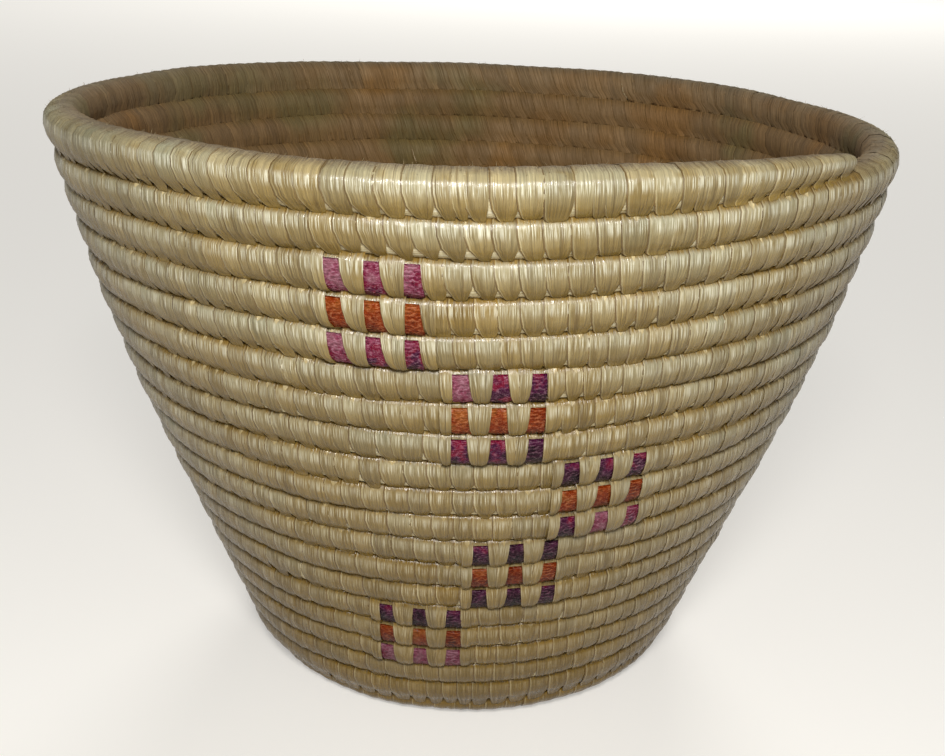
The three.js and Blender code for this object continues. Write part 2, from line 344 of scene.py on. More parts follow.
def closed_tubes(name, points, uv, values, sharp_sides=()):
    """An object of closed tubes. points is (tubes, rings, sides, 3); uv, in millimetres, and each of the
    named values have one entry a point. Side follows side to the right and ring follows ring upwards, seen
    from outside, so the faces point outwards. Both ends of each tube are closed by one face. The lines of
    edges along the sharp sides aren't smoothed over."""
    tubes, rings, sides = points.shape[:3]
    index = np.arange(tubes * rings * sides).reshape(tubes, rings, sides)
    right = np.roll(index, -1, axis=2)
    quads = np.stack((index[:, :-1], right[:, :-1], right[:, 1:], index[:, 1:]), axis=-1)
    loops = np.concatenate((quads.ravel(), index[:, 0, ::-1].ravel(), index[:, -1].ravel()))
    quad_starts = np.arange(quads.size // 4) * 4
    end_starts = quads.size + np.arange(2 * tubes) * sides
    mesh = bpy.data.meshes.new(name)
    mesh.vertices.add(index.size)
    mesh.vertices.foreach_set("co", points.astype(np.float32).ravel())
    mesh.loops.add(loops.size)
    mesh.loops.foreach_set("vertex_index", loops.astype(np.int32))
    mesh.polygons.add(quad_starts.size + end_starts.size)
    mesh.polygons.foreach_set("loop_start", np.concatenate((quad_starts, end_starts)).astype(np.int32))
    mesh.polygons.foreach_set("use_smooth", np.ones(len(mesh.polygons), dtype=bool))
    mesh.update(calc_edges=True)
    ends = np.empty(2 * len(mesh.edges), dtype=np.int32)
    mesh.edges.foreach_get("vertices", ends)
    side = ends.reshape(-1, 2) % sides
    sharp = (side[:, 0] == side[:, 1]) & np.isin(side[:, 0], sharp_sides)
    mesh.attributes.new("sharp_edge", "BOOLEAN", "EDGE").data.foreach_set("value", sharp)
    layer = mesh.uv_layers.new(name="Grain")
    layer.data.foreach_set("uv", uv.reshape(-1, 2)[loops].astype(np.float32).ravel())
    for label, value in values.items():
        attribute = mesh.attributes.new(label, "FLOAT", "POINT")
        full = np.broadcast_to(value, (tubes, rings, sides))
        attribute.data.foreach_set("value", full.astype(np.float32).ravel())
    piece = bpy.data.objects.new(name, mesh)
    bpy.context.collection.objects.link(piece)
    return piece


def bundle(name, first, last):
    """The grass bundle between two turns: its section's outline, carried along the cord. Low on the outside
    it swells by a bell curve of the angle, where loose stems fill the groove."""
    mean_radius = np.mean(np.interp(np.linspace(first, last, 400), LINE_TURNS, LINE_RADII))
    steps = int(2 * math.pi * mean_radius * (last - first) / BUNDLE_STEP)
    turn = np.linspace(first, last, steps)[:, None]
    angle = math.pi / 2 - 2 * math.pi * np.arange(BUNDLE_SIDES)[::-1][None, :] / BUNDLE_SIDES
    from_groove = (np.degrees(angle) - FILLED_ANGLE) / FILL_SPREAD
    radius, height = outline(turn, angle, GROOVE_FILL * bend_at(turn) * np.exp(-from_groove ** 2))
    points = place(turn, radius, height)[None]
    along = np.concatenate(((0,), np.cumsum(np.linalg.norm(np.diff(points[0, :, 0], axis=0), axis=1)))) / MM
    around = np.arange(BUNDLE_SIDES) * 2 * math.pi * BUNDLE_HALF_DEPTH * PITCH_AT_RIM / BUNDLE_SIDES / MM
    uv = np.stack(np.broadcast_arrays(along[:, None], around[None, :]), axis=-1)[None]
    inner = (np.cos(angle) < 0).astype(float)[None]
    return closed_tubes(name, points, uv, {"inner": inner})


def lean_at(turn):
    """How far a stitch's tip lies to the right of its top: more on the upper rounds, by the cosine of the
    azimuth from where it is most, held between two limits, with waves on top. The cosine turns it the other
    way on the right of the basket."""
    high = np.clip(1 - (TURNS - turn) / LEAN_ROUNDS, 0, 1) ** 0.7
    to_left = np.clip(2.2 * np.cos(azimuth(turn) - np.radians(LEANS_MOST_AZIMUTH)), -1.1, 1.4)
    return mix(LEAN_LOW, LEAN_HIGH, high) * (to_left + 0.3 * waves(turn, (1.3, 3.9, 7.3), 23))


def sewn(name, turns, widths, rng, lift=0.0, tucked=None, leans=None, forks=None):
    """Stitches with their middles at the turns. Each is a closed strip through STITCH_RINGS, four points
    round: left edge, crown, right edge and the hidden keel. A tucked stitch lies flatter, and ends under the
    cord instead of reaching over the round below. leans replaces the usual lean, and forks moves the tops
    sideways. A lift raises the outside, and little of it the inside. Each point is mixed from one on the
    stitch's own cord and one on the round below, by the share that STITCH_RINGS gives."""
    count = len(turns)
    own, low, low_share, width, crown, lean_share = (column[None, :, None] for column in STITCH_RINGS.T)
    each = (count, 1, 1)
    own = np.radians(own + rng.normal(0, 1.5, each))
    own_degrees = np.degrees(own)
    low = np.radians(low + rng.normal(0, 2.5, each))
    if tucked is not None:
        low_share = np.where(tucked.reshape(each), low_share * (own > 0), low_share)
        crown = np.where(tucked.reshape(each), crown * TUCKED_CROWN, crown)
    turn = turns.reshape(each)
    bluntness = -0.05 + waves(turn, (1.7, 4.3, 9.1), 21) * 0.09 + rng.normal(0, 0.06, each)
    for round_from_rim, across, reach, narrower in OPEN_PLACES:
        apart = (turn - turn_on_front(round_from_rim, across)) / turns_for(reach * MM, turn)
        bluntness = bluntness - narrower * np.exp(-apart ** 2)
    towards_tip = np.clip((1.0 - width) / TIP_NARROWER_BY, 0, 1)
    by_gap = (rng.uniform(0, 1, each) < SHARE_OF_GAPS) & (turn < TURNS - 1.5)
    wider = rng.normal(STITCH_WIDER, WIDTH_VARIES, each) - GAP_NARROWER * by_gap
    half_width = widths.reshape(each) / 2 * np.maximum(width * wider + bluntness * towards_tip, LEAST_WIDTH)
    outer = np.arange(len(STITCH_RINGS)) < INNER_FROM_RING
    lean = lean_at(turn) + rng.normal(0, LEAN_VARIES, each) if leans is None else leans.reshape(each)
    advance = np.where(outer[None, :, None], lean, (lean - widths.reshape(each)) * INNER_LEAN) * lean_share
    if forks is not None:
        advance = advance + forks.reshape(each) * np.clip((own_degrees - 20) / 40, 0, 1)
    lift = lift * np.clip((170 - own_degrees) / 60, 0.15, 1)
    height = crown * rng.normal(1, CROWN_VARIES, each) * MM + ACROSS_LIFT * MM + lift
    in_groove = 4 * low_share * (1 - low_share)
    height = np.where(IS_KEEL, -mix(KEEL_DEPTH, KEEL_DEPTH_IN_GROOVE, in_groove), height)
    at = turn + turns_for(advance + half_width * ACROSS, turn)
    radius, up = outline(at, own, height)
    radius_low, up_low = outline(at - 1, low, height)
    points = place(at, mix(radius, radius_low, low_share), mix(up, up_low, low_share))
    middle = points[:, :, 1]
    run = np.cumsum(np.linalg.norm(np.diff(middle, axis=1, prepend=middle[:, :1]), axis=2), axis=1)[..., None]
    uv = np.stack(np.broadcast_arrays(widths.reshape(each) / 2 * ACROSS / MM, run / MM), axis=-1)
    on_rim = np.clip((turn - (TURNS - 1.0)) * 40, 0, 1)
    tone = rng.uniform(0, 1, each)
    hue = np.clip(0.5 + 0.2 * waves(turn, (2.3, 6.1, 17.3), 22) + rng.normal(0, 0.08, each), 0, 1)
    split_width = rng.uniform(0.5, 1.2, each)
    is_split = (rng.uniform(0, 1, each) < SHARE_SPLIT) & (turn < TURNS - 1.02)
    values = {
        "tone": tone,
        "hue": hue,
        "round": own_degrees / 100,
        "side": ACROSS,
        "split": split_width * is_split,
        "worn": on_rim * np.clip((own_degrees - 64) / 26, 0, 1) * np.clip((165 - own_degrees) / 60, 0, 1),
        # covered: where the round above covers the stitch, the only place whose top gets the painted shade
        "covered": 1 - on_rim,
    }
    return closed_tubes(name, points, uv, values, EDGE_SIDES)


def lay_out():
    """Middle and width of every stitch, from the start of the cord on. Each stitch is sewn through the middle
    of one on the round below, so the tip, not the top, comes over that one's middle. Its own middle follows
    from the five nearest there, which evens the spacing out again where one has been put in between."""
    rng = np.random.default_rng(31)
    middles = [FIRST_STITCH]
    while middles[-1] < FIRST_STITCH + 1:
        middles.append(middles[-1] + float(turns_for(STITCH_SPACING, middles[-1])))
    below = 2
    short = 0.0
    while middles[-1] < TURNS:
        turn = 1 + np.dot(middles[below - 2:below + 3], (1, 2, 3, 2, 1)) / 9
        spacing = STITCH_SPACING * (1 + SPACING_VARIES * float(waves(turn, (0.31, 0.83, 2.21), 31)))
        turn = turn - turns_for(float(lean_at(turn)) + rng.normal(0, PLACE_VARIES), turn)
        gap = (turn - middles[-1]) / turns_for(spacing, turn)
        short += gap - 1
        put_in = int(max(gap / WIDEST_GAP, short > 1 and gap > LEAST_GAP_TO_FILL))
        short -= put_in
        middles.extend(np.linspace(middles[-1], turn, put_in + 2)[1:])
        below += 1
    middles = np.array([m for m in middles if m < TURNS])
    widths = np.gradient(middles) * 2 * math.pi * np.interp(middles, LINE_TURNS, LINE_RADII)
    return middles, np.clip(widths, NARROWEST * STITCH_SPACING, WIDEST * STITCH_SPACING)


def turn_on_front(round_from_rim, across):
    """The turn of a place on the front: a round, counted from the rim, and millimetres to the right."""
    to_front = ((TAIL_END_AZIMUTH - FRONT_AZIMUTH) % 360) / 360
    turn = TURNS - to_front - (round_from_rim - 1)
    return turn + turns_for(across * MM, turn)


def gut_strip(name, middle, dyes, rng):
    """A strip of gut laid along a round over the stitches: a grid, along by around, from just under the top
    of the round down into the groove, puckered across by short waves, with its underside closed."""
    length = 3 * GUT_SHOWN + 2 * OVER_STITCH_WIDTH
    along = np.linspace(-length / 2, length / 2, GUT_COLUMNS)
    angles = np.radians(GUT_ANGLES)[::-1]
    shown = len(angles)
    over_below = np.array((1.0, 0.5) + (0.0,) * (shown - 2))
    below = np.radians(np.array((55, 62) + (70,) * (shown - 2)))
    turn = middle + turns_for(along[:, None], middle)
    slant = (np.arange(shown)[::-1] / shown - 0.5) * lean_at(middle)
    turn = turn + turns_for(slant[None, :], middle)
    column, row = along[:, None], np.arange(shown)[None, :]
    pucker = waves(column / (2.4 * MM) + row * 0.23, (1.0, 1.9, 3.1), rng.integers(1e6))
    crease = waves(row * 0.31 + column / (9 * MM), (1.0, 2.3), rng.integers(1e6))
    lift = GUT_LIFT + PUCKER * pucker + CREASE * crease
    lift[:, 0] = GUT_EDGE
    radius, height = outline(turn, angles[None, :], lift)
    radius_low, height_low = outline(turn - 1, below[None, :], np.minimum(lift, GUT_LIFT_BELOW))
    top = place(turn, mix(radius, radius_low, over_below), mix(height, height_low, over_below))
    under_turn = turn[:, (shown - 2, 2)]
    radius, height = outline(under_turn, angles[None, (shown - 2, 2)], GUT_UNDERSIDE)
    points = np.concatenate((top, place(under_turn, radius, height)), axis=1)[:, ::-1][None]
    around = np.concatenate((np.arange(shown), (shown - 2, 2)))[::-1] * GUT_ROW_MM
    uv = np.stack(np.broadcast_arrays(along[:, None] / MM, around[None, :]), axis=-1)[None]
    cell = np.clip(np.floor((along / length + 0.5) * 3), 0, 2).astype(int)
    around_cord = np.concatenate((np.degrees(angles), (0, 0)))[::-1] / 100
    dye = np.array(dyes)[cell][None, :, None]
    return closed_tubes(name, points, uv, {"dye": dye, "round": around_cord})


def start_knot(name):
    """The cord's folded start, that closes the middle of the base: a low dome, its height falling with the
    square of the radius, and the same below it."""
    radii = np.array((0.3, 2.6, 4.2, 5.0, 4.2, 2.6, 0.3)) * MM
    heights = np.array((5.7, 5.4, 4.4, 2.6, 0.9, 0.5, 0.5)) * MM
    around = -2 * math.pi * np.arange(24) / 24
    along_mm = around * 3.0
    ring = np.stack((np.cos(around), np.sin(around), 0 * around), axis=-1)
    uneven = 1 + 0.08 * waves(around / (2 * math.pi), (3, 5, 8), 17)
    points = ring * (radii[:, None] * uneven)[..., None] + np.array((0, 0, 1)) * heights[:, None, None]
    uv = np.stack(np.broadcast_arrays(along_mm, (radii / MM)[:, None]), axis=-1)[None]
    return closed_tubes(name, points[None], uv, {"inner": (heights > 2 * MM)[None, :, None].astype(float)})


def rim_fuzz(name, count, rng):
    """Ends of broken fibres on top of the rim: thin hairs of three sides, thinner towards the free end.
    Each follows a parabola: it leaves the rim along a random direction, and bends over with the square."""
    each = (count, 1)
    share = np.linspace(0, 1, 5)[None, :]
    turn = TURNS - rng.uniform(0.02, 1.0, each)
    angle = np.radians(rng.uniform(*HAIR_ANGLES, each))
    radius, height = outline(turn, angle, HAIR_ROOT_LIFT)
    root = place(turn, radius, height)
    length = rng.uniform(*HAIR_LENGTHS, (count, 1, 1))
    around = np.stack((-np.sin(azimuth(turn)), np.cos(azimuth(turn)), 0 * turn), axis=-1)
    out = np.stack((np.cos(azimuth(turn)), np.sin(azimuth(turn)), 0 * turn), axis=-1)
    slant = rng.normal(0, 0.8, (count, 1, 1))
    start = around * slant + out * np.cos(angle)[..., None] + np.array((0, 0, 0.3))
    start = start / np.linalg.norm(start, axis=-1, keepdims=True)
    fall = around * rng.normal(0, 0.5, (count, 1, 1)) + out * rng.normal(0, 0.5, (count, 1, 1))
    middle = root + (start * share[..., None] + fall * share[..., None] ** 2 * 0.6) * length
    thick = (HAIR_RADIUS * (1 - HAIR_TAPER * share))[..., None, None]
    corner = 2 * math.pi * np.arange(3) / 3
    ring = around[..., None, :] * np.cos(corner)[:, None] - out[..., None, :] * np.sin(corner)[:, None]
    points = middle[:, :, None, :] + thick * ring
    uv = np.zeros(points.shape[:3] + (2,))
    values = {"tone": rng.uniform(0, 1, (count, 1, 1)), "worn": 0.5, "hue": 0.7, "round": 0.6}
    return closed_tubes(name, points, uv, values)


def linear(colour, alpha=1.0):
    """An sRGB hex colour, such as d9cba0, as linear red, green, blue and alpha."""
    parts = [int(colour[i:i + 2], 16) / 255 for i in (0, 2, 4)]
    return [p / 12.92 if p <= 0.04045 else ((p + 0.055) / 1.055) ** 2.4 for p in parts] + [alpha]


def add(tree, kind, inputs=None, **settings):
    """Adds a node: its settings by name, and each input by its label or number. What goes in is a value, a
    socket, or a node, which gives its first output. A Map Range takes its value as 0, and the span from 1
    to 2 becomes the one from 3 to 4. A mix takes 0 as the share of the colour 2 in the colour 1."""
    node = tree.nodes.new(kind)
    for name, value in settings.items():
        setattr(node, name, value)
    for name, value in (inputs or {}).items():
        if isinstance(value, bpy.types.Node):
            value = value.outputs[0]
        if isinstance(value, bpy.types.NodeSocket):
            tree.links.new(value, node.inputs[name])
        else:
            node.inputs[name].default_value = value
    return node


def new_material(name):
    material = bpy.data.materials.new(name)
    material.use_nodes = True
    material.node_tree.nodes.clear()
    return material, material.node_tree


def finish_material(tree, shader):
    add(tree, "ShaderNodeOutputMaterial", {"Surface": shader})


def set_ramp(ramp, stops):
    """Gives a colour ramp its stops: pairs of place and sRGB hex colour."""
    elements = ramp.color_ramp.elements
    while len(elements) < len(stops):
        elements.new(0.5)
    for element, (position, colour) in zip(elements, stops):
        element.position = position
        element.color = linear(colour)


def grain(tree, across_mm, along_mm, offset, detail=2.0):
    """Noise drawn out along the UV map's second axis: so wide across and so long, in millimetres."""
    uv = add(tree, "ShaderNodeUVMap", uv_map="Grain")
    parts = add(tree, "ShaderNodeSeparateXYZ", {0: uv})
    x = add(tree, "ShaderNodeMath", {0: parts.outputs[0], 1: 1 / across_mm}, operation="MULTIPLY")
    y = add(tree, "ShaderNodeMath", {0: parts.outputs[1], 1: 1 / along_mm}, operation="MULTIPLY")
    vector = add(tree, "ShaderNodeCombineXYZ", {0: x, 1: y, 2: offset})
    return add(tree, "ShaderNodeTexNoise", {"Vector": vector, "Scale": 1.0, "Detail": detail})


def stitch_colour(tree, values, hairs, stains, patches, fresh, groove):
    """The colour along one stitch: its own hue with ochre patches and stains, browner down to the tip and at
    the top, where it comes up out of the groove, partly ochre and partly painted shade, and pale fibres on
    the knuckle between the two, which are a painted highlight."""
    own = add(tree, "ShaderNodeValToRGB", {0: values["hue"]})
    set_ramp(own, fresh)
    patched = add(tree, "ShaderNodeMapRange", {0: patches, 1: 0.4, 2: 0.72, 3: 0.0, 4: 0.45})
    ochre = add(tree, "ShaderNodeMixRGB", {0: patched, 1: own, 2: linear(groove)})
    stain = add(tree, "ShaderNodeMapRange", {0: stains, 1: 0.52, 2: 0.64, 3: 0.0, 4: 0.4})
    stained = add(tree, "ShaderNodeMixRGB", {0: stain, 1: ochre, 2: linear(groove)})
    # Browner down to the tip: partly the grass's ochre, partly painted shade on the lower half of the round.
    tip = add(tree, "ShaderNodeMapRange", {0: values["round"], 1: 0.34, 2: -0.24, 3: 0.0, 4: 0.92})
    tip_ochre_and_shade = add(tree, "ShaderNodeMixRGB", {0: tip, 1: stained, 2: linear(groove)})
    # Browner at the top, where it comes up out of the groove: partly ochre, partly painted shade cast by the
    # round above, so the rim round, which nothing covers, has none.
    ragged = add(tree, "ShaderNodeMapRange", {0: hairs, 1: 0.3, 2: 0.7, 3: -0.07, 4: 0.07})
    ragged = add(tree, "ShaderNodeMath", {0: values["round"], 1: ragged}, operation="ADD")
    top = add(tree, "ShaderNodeMapRange", {0: ragged, 1: 0.38, 2: 0.54, 3: 0.0, 4: 0.85})
    top = add(tree, "ShaderNodeMath", {0: top, 1: values["covered"]}, operation="MULTIPLY")
    top_ochre_and_shade = add(tree, "ShaderNodeMixRGB", {0: top, 1: tip_ochre_and_shade, 2: linear("7e6228")})
    # A painted highlight: pale fibres in colour dcd9c2, in a band across the knuckle.
    off_knuckle = add(tree, "ShaderNodeMath", {0: values["round"], 1: 0.25}, operation="SUBTRACT")
    off_knuckle = add(tree, "ShaderNodeMath", {0: off_knuckle}, operation="ABSOLUTE")
    knuckle = add(tree, "ShaderNodeMapRange", {0: off_knuckle, 1: 0.04, 2: 0.24, 3: 0.86, 4: 0.0},
                  interpolation_type="SMOOTHSTEP")
    painted_highlight = add(tree, "ShaderNodeMapRange", {0: hairs, 1: 0.47, 2: 0.6, 3: 0.0, 4: knuckle})
    return add(tree, "ShaderNodeMixRGB", {0: painted_highlight, 1: top_ochre_and_shade, 2: linear("dcd9c2")})


def parted_top(tree, values, outside, colour):
    """A split in the top of some stitches, as the next one up pierces them: a pale wedge on the outside, that
    opens upwards, as wide as the split value says."""
    uv = add(tree, "ShaderNodeUVMap", uv_map="Grain")
    sideways = add(tree, "ShaderNodeSeparateXYZ", {0: uv})
    from_middle = add(tree, "ShaderNodeMath", {0: sideways}, operation="ABSOLUTE")
    half = add(tree, "ShaderNodeMapRange", {0: values["round"], 1: 0.36, 2: 0.49, 3: 0.0, 4: 0.5})
    half = add(tree, "ShaderNodeMath", {0: half, 1: values["split"]}, operation="MULTIPLY")
    wedge = add(tree, "ShaderNodeMath", {0: from_middle, 1: half}, operation="LESS_THAN")
    wedge = add(tree, "ShaderNodeMath", {0: wedge, 1: outside}, operation="MULTIPLY")
    return add(tree, "ShaderNodeMixRGB", {0: wedge, 1: colour, 2: linear("cdbb8c")})


def shaded_and_aged_by_place(tree, values, inner, patches, place_on, colour):
    """The colour by its place on the basket: darker and browner towards the foot, which is painted shade of
    the light falling off downwards, aged brown inside and darker there also as painted shade, and rubbed grey
    in frayed spots along the rim."""
    height = add(tree, "ShaderNodeSeparateXYZ", {0: place_on}).outputs[2]
    # Painted shade: darker and browner towards the foot, as the light falls off downwards.
    low = add(tree, "ShaderNodeMapRange", {0: height, 1: 0.0, 2: 156 * MM, 3: 0.95, 4: 0.0})
    foot = add(tree, "ShaderNodeMixRGB", {0: low, 1: colour, 2: linear("6d5208")})
    # Aged brown inside, and darker there as painted shade too.
    inner = add(tree, "ShaderNodeMath", {0: inner, 1: 0.88}, operation="MULTIPLY")
    aged_and_shaded = add(tree, "ShaderNodeValToRGB", {0: patches})
    set_ramp(aged_and_shaded, AGED_AND_SHADED)
    inside = add(tree, "ShaderNodeMixRGB", {0: inner, 1: foot, 2: aged_and_shaded})
    frays = add(tree, "ShaderNodeTexNoise", {"Vector": place_on, "Scale": 1 / (0.5 * MM), "Detail": 2.0})
    frays = add(tree, "ShaderNodeMapRange", {0: frays, 1: 0.4, 2: 0.6, 3: 0.5, 4: 1.0})
    worn = add(tree, "ShaderNodeMath", {0: values["worn"], 1: frays}, operation="MULTIPLY")
    return add(tree, "ShaderNodeMixRGB", {0: worn, 1: inside, 2: linear("796b58")})


def lined(tree, values, bunches, hairs, outside, colour):
    """Lines along the stitch: dark between bunches of fibres, grain with painted shade between the bunches,
    and a painted shade line at the left edge, with a painted highlight beside it on the outside. Each stitch
    is a little lighter or darker than the next, and so is each fibre in it, which also paints shade between
    the fibres and highlights on them."""
    # Dark lines between bunches of fibres: grain, and painted shade in the grooves between the bunches.
    between = add(tree, "ShaderNodeMapRange", {0: bunches, 1: 0.3, 2: 0.44, 3: 0.52, 4: 0.0})
    colour = add(tree, "ShaderNodeMixRGB", {0: between, 1: colour, 2: linear("5a400e")})
    # Painted shade: a dark line at the left edge, where it lies over the stitch before it.
    edge = add(tree, "ShaderNodeMapRange", {0: values["side"], 1: -0.95, 2: -0.86, 3: 0.76, 4: 0.0})
    colour = add(tree, "ShaderNodeMixRGB", {0: edge, 1: colour, 2: linear("5e4214")})
    # A painted highlight: a pale line beside the left edge, on the outside.
    lip_highlight = add(tree, "ShaderNodeMapRange", {0: values["side"], 1: -0.87, 2: -0.74, 3: 0.36, 4: 0.0})
    is_lip = add(tree, "ShaderNodeMath", {0: values["side"], 1: -0.87}, operation="GREATER_THAN")
    lip_highlight = add(tree, "ShaderNodeMath", {0: lip_highlight, 1: is_lip}, operation="MULTIPLY")
    lip_highlight = add(tree, "ShaderNodeMath", {0: lip_highlight, 1: outside}, operation="MULTIPLY")
    colour = add(tree, "ShaderNodeMixRGB", {0: lip_highlight, 1: colour, 2: linear("d9cda4")})
    # Each fibre lighter or darker: its tone, with painted shade between fibres and painted highlights on
    # them.
    fine = add(tree, "ShaderNodeMapRange", {0: hairs, 1: 0.3, 2: 0.7, 3: 0.72, 4: 1.26})
    each = add(tree, "ShaderNodeMapRange", {0: values["tone"], 3: 0.86, 4: 1.1})
    shade = add(tree, "ShaderNodeMath", {0: each, 1: fine}, operation="MULTIPLY")
    return add(tree, "ShaderNodeMixRGB", {0: 1.0, 1: colour, 2: shade}, blend_type="MULTIPLY")


def sewn_grass(name, fresh, groove):
    """Split beach grass, dried and sewn while damp: flat bands of fine parallel fibres with a satin skin,
    that takes a soft highlight across them, straw to greenish grey, browner inside and in the grooves, partly
    as painted shade."""
    material, tree = new_material(name)
    values = {
        label: add(tree, "ShaderNodeAttribute", attribute_name=label).outputs["Fac"]
        for label in ("tone", "hue", "round", "side", "split", "worn", "covered")
    }
    offset = add(tree, "ShaderNodeMath", {0: values["tone"], 1: 173.0}, operation="MULTIPLY")
    bunches = grain(tree, *BUNCHES, offset)
    hairs = grain(tree, *FIBRES, offset)
    stains = grain(tree, *STAINS, offset)
    place_on = add(tree, "ShaderNodeTexCoord").outputs["Object"]
    patches = add(tree, "ShaderNodeTexNoise", {"Vector": place_on, "Scale": 1 / (28 * MM), "Detail": 2.0})
    outside = add(tree, "ShaderNodeMath", {0: values["round"], 1: 0.6}, operation="LESS_THAN")
    inner = add(tree, "ShaderNodeMapRange", {0: values["round"], 1: 0.6, 2: 1.5, 3: 0.0, 4: 1.0},
                interpolation_type="SMOOTHSTEP")
    colour = stitch_colour(tree, values, hairs, stains, patches, fresh, groove)
    colour = parted_top(tree, values, outside, colour)
    colour = shaded_and_aged_by_place(tree, values, inner, patches, place_on, colour)
    colour = lined(tree, values, bunches, hairs, outside, colour)
    dents = add(tree, "ShaderNodeMath", {0: grain(tree, *DENTS, offset), 1: 1.6}, operation="MULTIPLY")
    relief = add(tree, "ShaderNodeMath", {0: bunches, 1: hairs}, operation="ADD")
    relief = add(tree, "ShaderNodeMath", {0: relief, 1: dents}, operation="ADD")
    bump = add(tree, "ShaderNodeBump", {"Strength": 0.8, "Distance": 0.16 * MM, "Height": relief})
    skin = add(tree, "ShaderNodeMapRange", {0: hairs, 1: 0.4, 2: 0.62, 3: 0.46, 4: 0.17})
    dull = add(tree, "ShaderNodeMath", {0: inner, 1: values["worn"]}, operation="MAXIMUM")
    dull = add(tree, "ShaderNodeMath", {0: dull, 1: 0.5}, operation="MULTIPLY")
    roughness = add(tree, "ShaderNodeMath", {0: skin, 1: dull}, operation="ADD")
    tangent = add(tree, "ShaderNodeTangent", direction_type="UV_MAP", uv_map="Grain")
    finish_material(tree, add(tree, "ShaderNodeBsdfPrincipled", {
        "Base Color": colour, "Roughness": roughness, "IOR": 1.5, "Anisotropic": 0.5, "Tangent": tangent,
        "Normal": bump}))
    return material


def loose_grass(name):
    """The bundle of whole dry stems: pale straw, running along the cord, matt, dark between the stems."""
    material, tree = new_material(name)
    uv = add(tree, "ShaderNodeUVMap", uv_map="Grain")
    parts = add(tree, "ShaderNodeSeparateXYZ", {0: uv})
    width, length = STEMS
    x = add(tree, "ShaderNodeMath", {0: parts.outputs[0], 1: 1 / length}, operation="MULTIPLY")
    y = add(tree, "ShaderNodeMath", {0: parts.outputs[1], 1: 1 / width}, operation="MULTIPLY")
    vector = add(tree, "ShaderNodeCombineXYZ", {0: x, 1: y})
    stems = add(tree, "ShaderNodeTexNoise", {"Vector": vector, "Scale": 1.0, "Detail": 2.0})
    colour = add(tree, "ShaderNodeValToRGB", {0: stems})
    set_ramp(colour, STRAW)
    inner = add(tree, "ShaderNodeAttribute", attribute_name="inner").outputs["Fac"]
    inner = add(tree, "ShaderNodeMath", {0: inner, 1: 0.6}, operation="MULTIPLY")
    inside = add(tree, "ShaderNodeMixRGB", {0: inner, 1: colour, 2: linear("8d6c43")})
    bump = add(tree, "ShaderNodeBump", {"Strength": 0.8, "Distance": 0.2 * MM, "Height": stems})
    finish_material(tree, add(tree, "ShaderNodeBsdfPrincipled", {
        "Base Color": inside, "Roughness": 0.6, "IOR": 1.46, "Normal": bump}))
    return material


